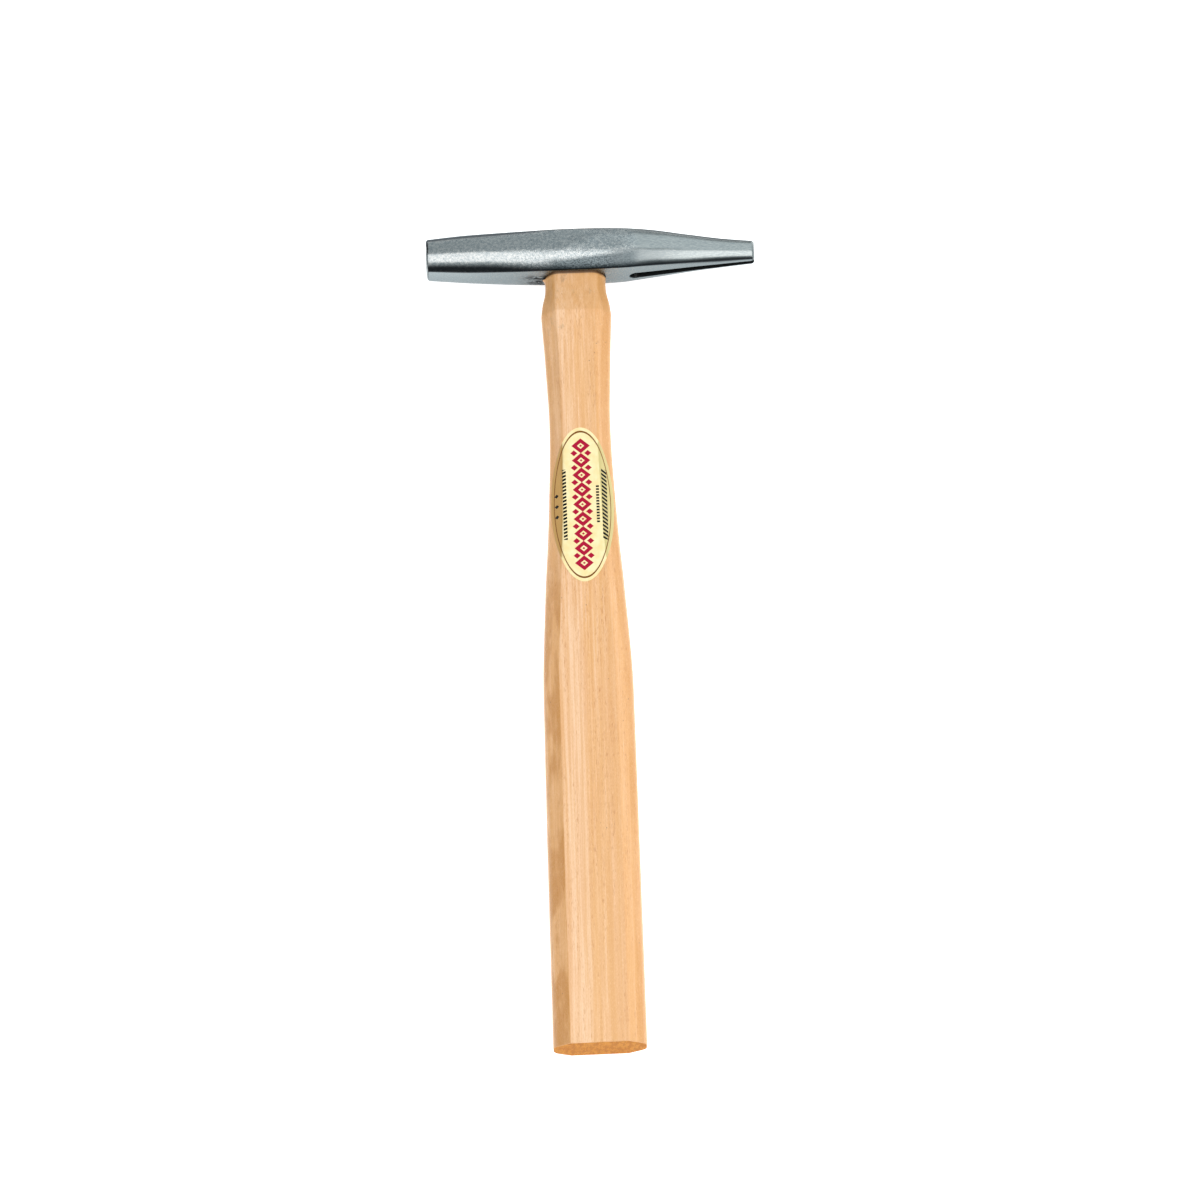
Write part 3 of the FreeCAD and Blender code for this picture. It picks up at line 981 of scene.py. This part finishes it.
# The label's print, in millimetres across and along: the thin oval, the lozenges down the middle,
# and three lanes of strokes, each with its centre, half width, pitch, slant and reach from the middle.
OVAL_HALF_WIDTH = LABEL_HALF_WIDTH * 0.895
OVAL_HALF_LENGTH = LABEL_HALF_LENGTH * 0.946
OVAL_LINE = 0.0125
LOZENGE_PITCH = 5.0
LOZENGE_HALF = (3.0, 2.55)
LOZENGE_HOLE, LOZENGE_SEED = 0.40, 0.16
LOZENGE_REACH = 4.49 * LOZENGE_PITCH
SMALL_LOZENGE_X = 2.25
SMALL_LOZENGE_HALF = (1.15, 1.0)
SMALL_LOZENGE_REACH = 4.2 * LOZENGE_PITCH
STROKE_LANES = ((7.2, 0.85, 1.35, 0.5, 12.1), (5.0, 0.5, 1.0, 0.0, 6.4), (-5.7, 0.62, 1.2, -0.4, 12.0))
STROKE_SHARE = 0.31
DOT_X, DOT_PITCH, DOT_REACH = -8.3, 3.6, 5.4
DOT_HALF = (0.7, 0.7)


class Print(Shader):
    """The foil's material, with masks for its printed shapes."""

    def __init__(self, name):
        super().__init__(name)
        self.across, y, z = self.axes(self.place)
        self.along = self.minus(y, LABEL_CENTRE_Y)
        self.far = self.size(self.along)

    def below(self, value, limit):
        return self.math("LESS_THAN", value, limit)

    def cell(self, pitch, slant=0.0, shift=0.5):
        """Signed distance along the label from the nearest repeat, slanted across it."""
        place = self.plus(self.along, self.times(self.across, slant))
        turns = self.plus(self.over(place, pitch), 100.0 + shift)
        return self.times(self.minus(self.math("FRACT", turns), 0.5), pitch)

    def lozenge(self, place, half, centre=0.0):
        """0 in a lozenge's middle and 1 on its outline."""
        half_x, half_y = half
        part_x = self.over(self.size(self.minus(self.across, centre)), half_x)
        return self.plus(part_x, self.over(self.size(place), half_y))

    def oval(self):
        part_x = self.over(self.across, OVAL_HALF_WIDTH)
        part_y = self.over(self.along, OVAL_HALF_LENGTH)
        radius = self.math("SQRT", self.plus(self.times(part_x, part_x), self.times(part_y, part_y)))
        return self.below(self.size(self.minus(radius, 1.0)), OVAL_LINE)

    def ornament(self):
        """A column of open lozenges, with a small pair between each two."""
        big = self.lozenge(self.cell(LOZENGE_PITCH), LOZENGE_HALF)
        ring = self.times(self.below(big, 1.0), self.math("GREATER_THAN", big, LOZENGE_HOLE))
        column = self.most(ring, self.below(big, LOZENGE_SEED))
        column = self.times(column, self.below(self.far, LOZENGE_REACH))
        between = self.cell(LOZENGE_PITCH, shift=0.0)
        right = self.below(self.lozenge(between, SMALL_LOZENGE_HALF, centre=SMALL_LOZENGE_X), 1.0)
        left = self.below(self.lozenge(between, SMALL_LOZENGE_HALF, centre=-SMALL_LOZENGE_X), 1.0)
        pairs = self.times(self.most(right, left), self.below(self.far, SMALL_LOZENGE_REACH))
        return self.most(column, pairs)

    def strokes(self):
        """Three lanes of slanted strokes and a few dots."""
        dots = self.below(self.lozenge(self.cell(DOT_PITCH), DOT_HALF, centre=DOT_X), 1.0)
        marks = self.times(dots, self.below(self.far, DOT_REACH))
        for centre, half_width, pitch, slant, reach in STROKE_LANES:
            stroke = self.below(self.size(self.cell(pitch, slant)), STROKE_SHARE * pitch)
            lane = self.below(self.size(self.minus(self.across, centre)), half_width)
            marks = self.most(marks, self.times(self.times(stroke, lane), self.below(self.far, reach)))
        return marks


def gold_foil():
    """Cream-gold foil with a thin brown oval, a crimson ornament, black strokes beside it, and painted
    reflection and shade on its side facets.
    """
    s = Print("gold_foil")
    nx = s.normal_axes()["X"]
    line, red, black = s.oval(), s.ornament(), s.strokes()
    crinkle = s.noise(s.place, (0.5, 0.35, 0.5), detail=3, roughness=0.55)
    speck = s.noise(s.place, (5.0, 5.0, 5.0), detail=2)
    colour = s.mix(s.between(crinkle, 0.3, 0.7), srgb(247, 228, 180), srgb(241, 216, 157))
    # Painted reflection and shade on the side facets: the left one brown, as the wood reflected, the right
    # one duller gold.
    colour = s.mix(s.between(nx, -0.25, -0.6), colour, srgb(190, 146, 84))
    colour = s.mix(s.between(nx, 0.12, 0.40), colour, srgb(206, 186, 128))
    colour = s.mix(red, colour, srgb(172, 8, 50))
    colour = s.mix(line, colour, srgb(122, 72, 20))
    colour = s.mix(black, colour, srgb(14, 12, 8))
    ink = s.most(s.most(red, black), line)
    metal = s.minus(0.15, s.times(ink, 0.15))
    rough = s.plus(s.between(speck, 0.3, 0.7, 0.34, 0.42), s.times(ink, 0.15))
    normal = s.bump(crinkle, 0.10 * MM)
    normal = s.bump(ink, 0.01 * MM, previous=normal)
    s.set(Base_Color=colour, Metallic=metal, Roughness=rough, Normal=normal, Specular_IOR_Level=0.12)
    return s.material


def wedge_steel():
    s = Shader("wedge_steel")
    grind = s.noise(s.place, (9.0, 9.0, 0.8), detail=3, roughness=0.6)
    dents = s.noise(s.place, (1.6, 1.6, 1.6), detail=2)
    colour = s.mix(s.between(grind, 0.3, 0.7), srgb(128, 132, 134), srgb(168, 172, 174))
    colour = s.mix(s.between(dents, 0.55, 0.7, 0.0, 0.4), colour, srgb(104, 84, 66))
    rough = s.between(grind, 0.3, 0.7, 0.32, 0.5)
    normal = s.bump(s.plus(dents, s.times(grind, 0.3)), 0.08 * MM)
    s.set(Base_Color=colour, Metallic=1.0, Roughness=rough, Normal=normal)
    return s.material


def floor_paper():
    s = Shader("floor_paper")
    fleck = s.noise(s.place, (0.02, 0.02, 0.02), detail=2)
    s.set(
        Base_Color=s.mix(fleck, (0.93, 0.93, 0.93, 1), (0.95, 0.95, 0.95, 1)),
        Roughness=0.9, Emission_Color=(1, 1, 1, 1), Emission_Strength=0.68,
    )
    return s.material


# ---------------------------------------------------------------- assembly

WOOD_WEDGE_BEVEL = 0.08
STEEL_WEDGE_BEVEL = 0.12

def finish_piece(piece, node, material):
    piece.data.materials.clear()
    piece.data.materials.append(material)
    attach(piece, "root")
    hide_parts(node)


def softened_copy(node, name, bevel):
    """A piece of a CAD node's shape with its edges eased by a bevel of a width in millimetres."""
    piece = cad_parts[node].copy()
    piece.data = piece.data.copy()
    piece.name = name
    bpy.context.scene.collection.objects.link(piece)
    shape = bmesh.new()
    shape.from_mesh(piece.data)
    bmesh.ops.remove_doubles(shape, verts=shape.verts, dist=0.001 * MM)
    bmesh.ops.dissolve_limit(shape, angle_limit=math.radians(2), verts=shape.verts, edges=shape.edges)
    shape.to_mesh(piece.data)
    shape.free()
    modifier = piece.modifiers.new("ease", "BEVEL")
    modifier.width = bevel * MM
    modifier.segments = 2
    modifier.angle_limit = math.radians(30)
    apply_modifiers(piece)
    return piece


finish_piece(make_head(), "head", forged_steel())
finish_piece(make_handle(), "handle", hickory())
finish_piece(make_label(), "label", gold_foil())
wood_wedge = softened_copy("wood_wedge", "hardwood_wedge", WOOD_WEDGE_BEVEL)
finish_piece(wood_wedge, "wood_wedge", hickory("wedge_hickory", coat=0.05))
steel_wedge = softened_copy("steel_wedge", "barbed_wedge", STEEL_WEDGE_BEVEL)
finish_piece(steel_wedge, "steel_wedge", wedge_steel())

# ---------------------------------------------------------------- floor, light and camera

FLOOR_HALF = 3.0
floor_mesh = bpy.data.meshes.new("floor")
floor_signs = ((-1, -1), (1, -1), (1, 1), (-1, 1))
floor_corners = [(x * FLOOR_HALF, y * FLOOR_HALF, CAD_LOW[2]) for x, y in floor_signs]
floor_mesh.from_pydata(floor_corners, [], [(0, 1, 2, 3)])
floor = bpy.data.objects.new("floor", floor_mesh)
bpy.context.scene.collection.objects.link(floor)
floor_mesh.materials.append(floor_paper())


HAMMER_MIDDLE = (Vector(CAD_LOW) + Vector(CAD_HIGH)) / 2
BLACK = (0, 0, 0, 1)
WALL_GREY = (0.58, 0.66, 0.68, 1)
BACKDROP = (0.95, 0.95, 0.95, 1)


def soft_light(name, direction, distance, size, power, colour, spin):
    """A soft box that looks at the middle of the hammer from a direction, spun about its own axis."""
    light = bpy.data.lights.new(name, "AREA")
    light.shape = "RECTANGLE"
    light.size, light.size_y = size
    light.energy = power
    light.color = colour
    lamp = bpy.data.objects.new(name, light)
    bpy.context.scene.collection.objects.link(lamp)
    away = Vector(direction).normalized()
    lamp.location = HAMMER_MIDDLE + away * distance
    facing = away.to_track_quat("Z", "Y") @ Matrix.Rotation(spin, 3, "Z").to_quaternion()
    lamp.rotation_euler = facing.to_euler()


soft_light(
    "overhead_box", direction=(0.0, -0.19, 1.0), distance=1.5, size=(2.4, 1.14), power=15.6,
    colour=(1.0, 0.98, 0.96), spin=math.radians(-20),
)


def studio_world():
    """A pale backdrop, and the grey walls, bright right side and dark front that steel reflects."""
    world = bpy.data.worlds.new("studio")
    world.use_nodes = True
    n = Nodes(world.node_tree)
    place = n.nodes.new("ShaderNodeTexCoord")
    x, y, z = n.axes(place.outputs["Generated"])
    rear = n.times(n.span(x, (0.04, 0.20), (0.55, 0.38)), n.between(y, 0.97, 0.88))
    level = n.plus(n.between(x, -0.12, 0.08, 1.15, 1.45), n.times(rear, 0.65))
    horizon = n.times(n.between(x, 0.08, 0.18), n.between(y, 0.92, 0.99))
    level = n.times(level, n.minus(1.0, n.times(horizon, 0.65)))
    corner = n.times(n.between(x, -0.22, -0.45), n.between(y, 0.15, 0.40))
    level = n.times(level, n.minus(1.0, n.times(corner, 0.95)))
    level = n.times(level, n.between(y, -0.85, -0.52, 0.30, 1.0))
    level = n.times(level, n.between(x, -0.85, -0.40, 0.5, 1.0))
    walls = n.mix(level, BLACK, WALL_GREY)
    seen = n.nodes.new("ShaderNodeLightPath")
    n.link(n.mix(seen.outputs["Is Camera Ray"], walls, BACKDROP), n.nodes["Background"].inputs["Color"])
    return world


bpy.context.scene.world = studio_world()

CAMERA_DISTANCE = 1.6
CAMERA_ELEVATION = math.radians(73.1)
CAMERA_ROLL = math.radians(1.88)
CAMERA_LENS = 151.3
CAMERA_AIM = HAMMER_MIDDLE + Vector((-0.0040, 0.0139, 0))
camera_data = bpy.data.cameras.new("camera")
camera_data.sensor_fit = "VERTICAL"
camera_data.sensor_height = 36
camera_data.lens = CAMERA_LENS
camera = bpy.data.objects.new("camera", camera_data)
bpy.context.scene.collection.objects.link(camera)
forward = Vector((0, math.cos(CAMERA_ELEVATION), -math.sin(CAMERA_ELEVATION)))
level_up = Vector((0, math.sin(CAMERA_ELEVATION), math.cos(CAMERA_ELEVATION)))
level_right = Vector((1, 0, 0))
right = level_right * math.cos(CAMERA_ROLL) - level_up * math.sin(CAMERA_ROLL)
up = level_up * math.cos(CAMERA_ROLL) + level_right * math.sin(CAMERA_ROLL)
turn = Matrix((right, up, -forward)).transposed().to_4x4()
camera.matrix_world = Matrix.Translation(CAMERA_AIM - forward * CAMERA_DISTANCE) @ turn
bpy.context.scene.camera = camera
bpy.context.scene.view_settings.view_transform = "Standard"
